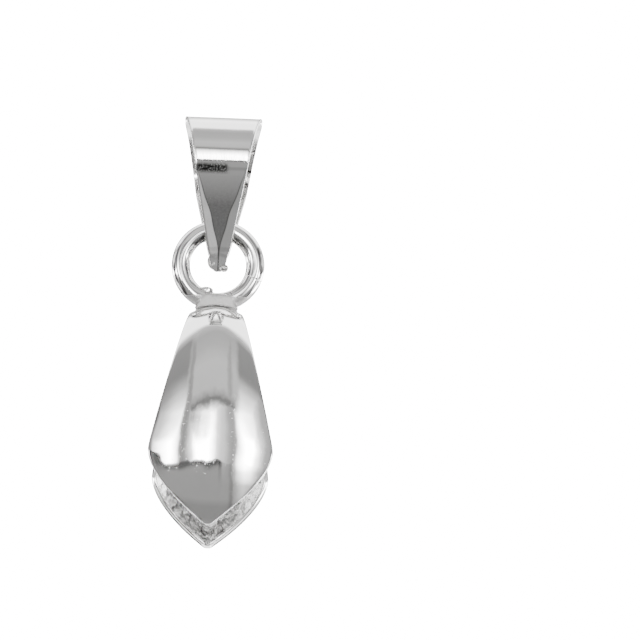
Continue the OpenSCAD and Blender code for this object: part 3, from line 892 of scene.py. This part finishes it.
# Two angles name a place on the tent: how far over it lies from the front horizon (90 is overhead, 180 is
# the back), and how far it lies to the right of the bail's middle plane. The edges of its cloths waver.
DEGREES = 180 / math.pi
folds = tent.nodes.new("ShaderNodeTexNoise")
folds.inputs["Scale"].default_value = 9.0
folds.inputs["Detail"].default_value = 5.0
folds.inputs["Roughness"].default_value = 0.65
link(tent, direction_of_view, folds.inputs["Vector"])
waver = tent_math("MULTIPLY_ADD", folds.outputs["Fac"], 7.0, -3.5)
slow_folds = tent.nodes.new("ShaderNodeTexNoise")
slow_folds.inputs["Scale"].default_value = 5.0
slow_folds.inputs["Detail"].default_value = 2.0
link(tent, direction_of_view, slow_folds.inputs["Vector"])
slow_waver = tent_math("MULTIPLY_ADD", slow_folds.outputs["Fac"], 9.0, -4.5)
forward = tent_math("MULTIPLY", parts.outputs["Y"], -1)
over = tent_math("MULTIPLY", tent_math("ARCTAN2", parts.outputs["Z"], forward), DEGREES)
aside = tent_math("MULTIPLY", tent_math("ARCSINE", parts.outputs["X"]), DEGREES)
over_edge = tent_math("ADD", over, waver)
aside_edge = tent_math("ADD", aside, tent_math("MULTIPLY", waver, 0.5))
far_aside = tent_math("ABSOLUTE", aside_edge)


def tent_power(value, centre, reach, power):
    """How far a value lies from a centre, as a share of reach, raised to a power."""
    share = tent_math("ABSOLUTE", tent_math("DIVIDE", tent_math("SUBTRACT", value, centre), reach))
    return tent_math("POWER", share, power)


# Above the horizon: a white band, then a grey roof over the front with a dark curved hem, which grows paler
# past the top, ends in a dark edge, and leaves white at the back. Beside the roof the tent is more even.
WHITE = 20.0
over_hem = tent_math("ADD", over_edge, tent_math("MULTIPLY", tent_power(aside, 5, 1, 2), 0.008))
front = tent_ramp(over_hem, (0, WHITE), (8, WHITE), (11, 9.0), (13, 5.0), (16, 1.8), (18, 0.8),
                  (20.5, 0.28), (22, 0.26), (24, 0.45), (29, 0.8), (48, 0.85), (64, 0.65), (78, 0.6),
                  (90, 0.9), (103, 1.9), (112, 2.6), (138, 3.0), (145, 0.8), (158, 0.55), (162, 0.14),
                  (166, WHITE), (180, WHITE))
outer = tent_ramp(over, (0, WHITE), (8, WHITE), (13, 7.0), (17, 2.6), (21, 1.4), (27, 0.8), (34, 0.5),
                  (48, 0.33), (76, 0.36), (84, 0.9), (92, 3.5), (112, 3.5), (124, 4.0), (134, 2.2),
                  (141, 1.3), (158, 1.2), (163, 3.0), (168, WHITE), (180, WHITE))
lift = tent_ramp(aside_edge, (-90, 1.0), (-42, 1.0), (-34, 1.8), (-22, 1.8), (0, 1.0), (22, 1.6), (28, 2.6),
                 (44, 2.6), (54, 1.4), (90, 1.0))
lift_reach = tent_ramp(over, (-180, 0.0), (4, 0.0), (11, 1.0), (30, 1.0), (44, 0.0), (180, 0.0))
outer = tent_math("MULTIPLY", outer, tent_mix(lift_reach, 1.0, lift))
patch = tent_math("ADD", tent_power(aside_edge, 0, 25, 4), tent_power(over, 48, 40, 4))
above = tent_mix(tent_ramp(patch, (0, 1.0), (0.8, 1.0), (1.4, 0.0), (2, 0.0)), outer, front)

# Across the front, grey seams and struts stand in the white band, and it ends in grey at both sides.
across = tent_ramp(aside_edge, (-90, WHITE), (-62, WHITE), (-55, 0.6), (-48, 0.5), (-43, 2.8), (-38, 9.0),
                   (-32, WHITE), (-28.5, 9.0), (-25.5, 0.7), (-23.5, 0.4), (-21, 0.5), (-18.5, 1.2),
                   (-15.5, 3.0), (-11, WHITE), (-3, WHITE), (1.5, 8.0), (4.5, 2.3), (8, 1.4), (11, 1.2),
                   (15, 0.65), (18, 0.5), (20.5, 0.8), (24, 8.0), (28, WHITE), (32, WHITE), (35, 6.0),
                   (38, 1.8), (42, 0.7), (48, 0.6), (55, 0.7), (62, WHITE), (90, WHITE))
across_reach = tent_ramp(over, (-180, 0.0), (-14, 0.0), (-12, 1.0), (66, 1.0), (78, 0.0), (180, 0.0))
above = tent_mix(across_reach, above, tent_math("MINIMUM", above, across))

# Below it: a grey table, dark at its left end, with a black edge and a lit stretch at the right. Deeper down
# it is dark below the bail and pale at the back.
table = tent_ramp(aside_edge, (-90, WHITE), (-64, WHITE), (-54, 0.25), (-48, 0.25), (-42, 0.2), (-38, 0.28),
                  (-34, 0.38), (-20, 0.41), (0, 0.43), (6.5, 0.45), (7.5, 0.14), (8.8, 0.14), (10, 0.5),
                  (11, 0.75), (14.5, 0.5), (18, 0.35), (21, 1.6), (24, 8.0), (28, 17.0), (32, 13.0),
                  (35, 6.0), (38, 1.8), (42, 0.7), (52, 0.5), (62, WHITE), (90, WHITE))
deep = tent_ramp(over, (-180, 3.0), (-150, 2.0), (-142, 1.2), (-136, 3.0), (-96, 3.0), (-82, 0.12),
                 (-66, 0.14), (-58, 0.38), (-46, 0.38), (-40, 0.3), (-30, 0.3), (-24, 0.4), (0, 0.42))
deep_aside = tent_ramp(aside_edge, (-90, 1.0), (15, 1.0), (18, 0.6), (20, 1.2), (26, 2.0), (34, 1.0),
                       (50, 1.0), (62, 6.0), (90, 6.0))
deep = tent_math("MULTIPLY", deep, deep_aside)
low = tent_ramp(over, (-180, 0.0), (-30, 0.0), (-14, 0.04), (-5, 0.35), (0, 1.0))
below = tent_mix(low, deep, table)

# The table's edge stands above the horizon at its left end. A dark hem runs along it, from the left to just
# past the middle.
left_end = tent_ramp(aside, (-90, 7.0), (-52, 7.0), (-44, 4.0), (-36, 0.0), (90, 0.0))
over_table = tent_math("SUBTRACT", tent_math("ADD", over, slow_waver), left_end)
hem = tent_ramp(over_table, (-5, 1.0), (-3.4, 0.75), (-2.2, 0.32), (-0.4, 0.32), (0.4, 1.0))
hem_reach = tent_ramp(aside_edge, (-90, 1.0), (7, 1.0), (12, 0.0), (90, 0.0))
below = tent_math("MULTIPLY", below, tent_mix(hem_reach, 1.0, hem))
is_under_edge = tent_math("LESS_THAN", over_table, 0.0)
is_before_back = tent_math("GREATER_THAN", over, -176)
is_below = tent_math("MULTIPLY", is_under_edge, is_before_back)
tent_light = tent_mix(is_below, above, below)

# A dark strut stands at each side, and the two ends of the tent are dark.
sides = tent_ramp(far_aside, (0, 1.0), (50, 1.0), (52, 0.22), (60, 0.22), (63, 1.0), (73, 1.0),
                  (75, 0.2), (78, 0.12), (81, 0.08), (90, 0.07))
tent_light = tent_math("MULTIPLY", tent_light, sides)

# The back quarters are dark, which draws the thin outlines. So are the gaps high up at both sides and the
# strip straight below the bail.
back = tent_ramp(aside_edge, (-90, 1.0), (-50, 1.0), (-44, 0.07), (-15, 0.07), (-10, 1.0), (10, 1.0),
                 (15, 0.3), (44, 0.3), (50, 1.0), (90, 1.0))
far_over = tent_math("ABSOLUTE", over)
back_reach = tent_ramp(far_over, (0, 0.0), (132, 0.0), (142, 1.0), (180, 1.0))
gap = tent_ramp(far_aside, (0, 1.0), (60, 1.0), (64, 0.4), (73, 0.4), (75, 1.0), (90, 1.0))
gap_reach = tent_ramp(over, (-180, 0.0), (58, 0.0), (66, 1.0), (114, 1.0), (122, 0.0), (180, 0.0))
pit = tent_ramp(far_aside, (0, 0.06), (26, 0.06), (34, 1.0), (90, 1.0))
pit_reach = tent_ramp(over_edge, (-180, 0.0), (-112, 0.0), (-106, 1.0), (-66, 1.0), (-60, 0.0), (180, 0.0))
for darkness, reach in ((back, back_reach), (gap, gap_reach), (pit, pit_reach)):
    tent_light = tent_math("MULTIPLY", tent_light, tent_mix(reach, 1.0, darkness))

# No place of the tent is quite black, and the camera itself sees plain white behind the bail.
DARKEST = 0.045
SEEN_WHITE = 22.0
tent_light = tent_math("MAXIMUM", tent_light, DARKEST)
is_seen = tent.nodes.new("ShaderNodeLightPath").outputs["Is Camera Ray"]
link(tent, tent_mix(is_seen, tent_light, SEEN_WHITE), background.inputs["Color"])

# The camera stands a little to the left, and looks up at the bail from below, with a long lens. The bail's
# origin falls on the pixel ORIGIN_AT of the square picture, so that the bail lies as in the photograph.
PICTURE = 640
PIXEL = 0.0548 * MM
ORIGIN_AT = (223.7, 124.6)
LENS = 300.0
SENSOR = 36
azimuth, elevation, roll = math.radians(-0.8), math.radians(-13.6), math.radians(2.0)
toward_camera = Vector((math.sin(azimuth) * math.cos(elevation), -math.cos(azimuth) * math.cos(elevation),
                        math.sin(elevation)))
level_right = Vector((math.cos(azimuth), math.sin(azimuth), 0))
level_up = toward_camera.cross(level_right)
right = level_right * math.cos(roll) + level_up * math.sin(roll)
up = level_up * math.cos(roll) - level_right * math.sin(roll)
distance = PICTURE * PIXEL * LENS / SENSOR
target = right * ((PICTURE / 2 - ORIGIN_AT[0]) * PIXEL) - up * ((PICTURE / 2 - ORIGIN_AT[1]) * PIXEL)
camera = bpy.data.objects.new("camera", bpy.data.cameras.new("camera"))
bpy.context.scene.collection.objects.link(camera)
camera.data.lens = LENS
camera.data.clip_start = 0.01
camera.data.clip_end = 20
turn_axes = Matrix((right, up, toward_camera)).transposed()
camera.matrix_world = Matrix.Translation(target + toward_camera * distance) @ turn_axes.to_4x4()
bpy.context.scene.camera = camera
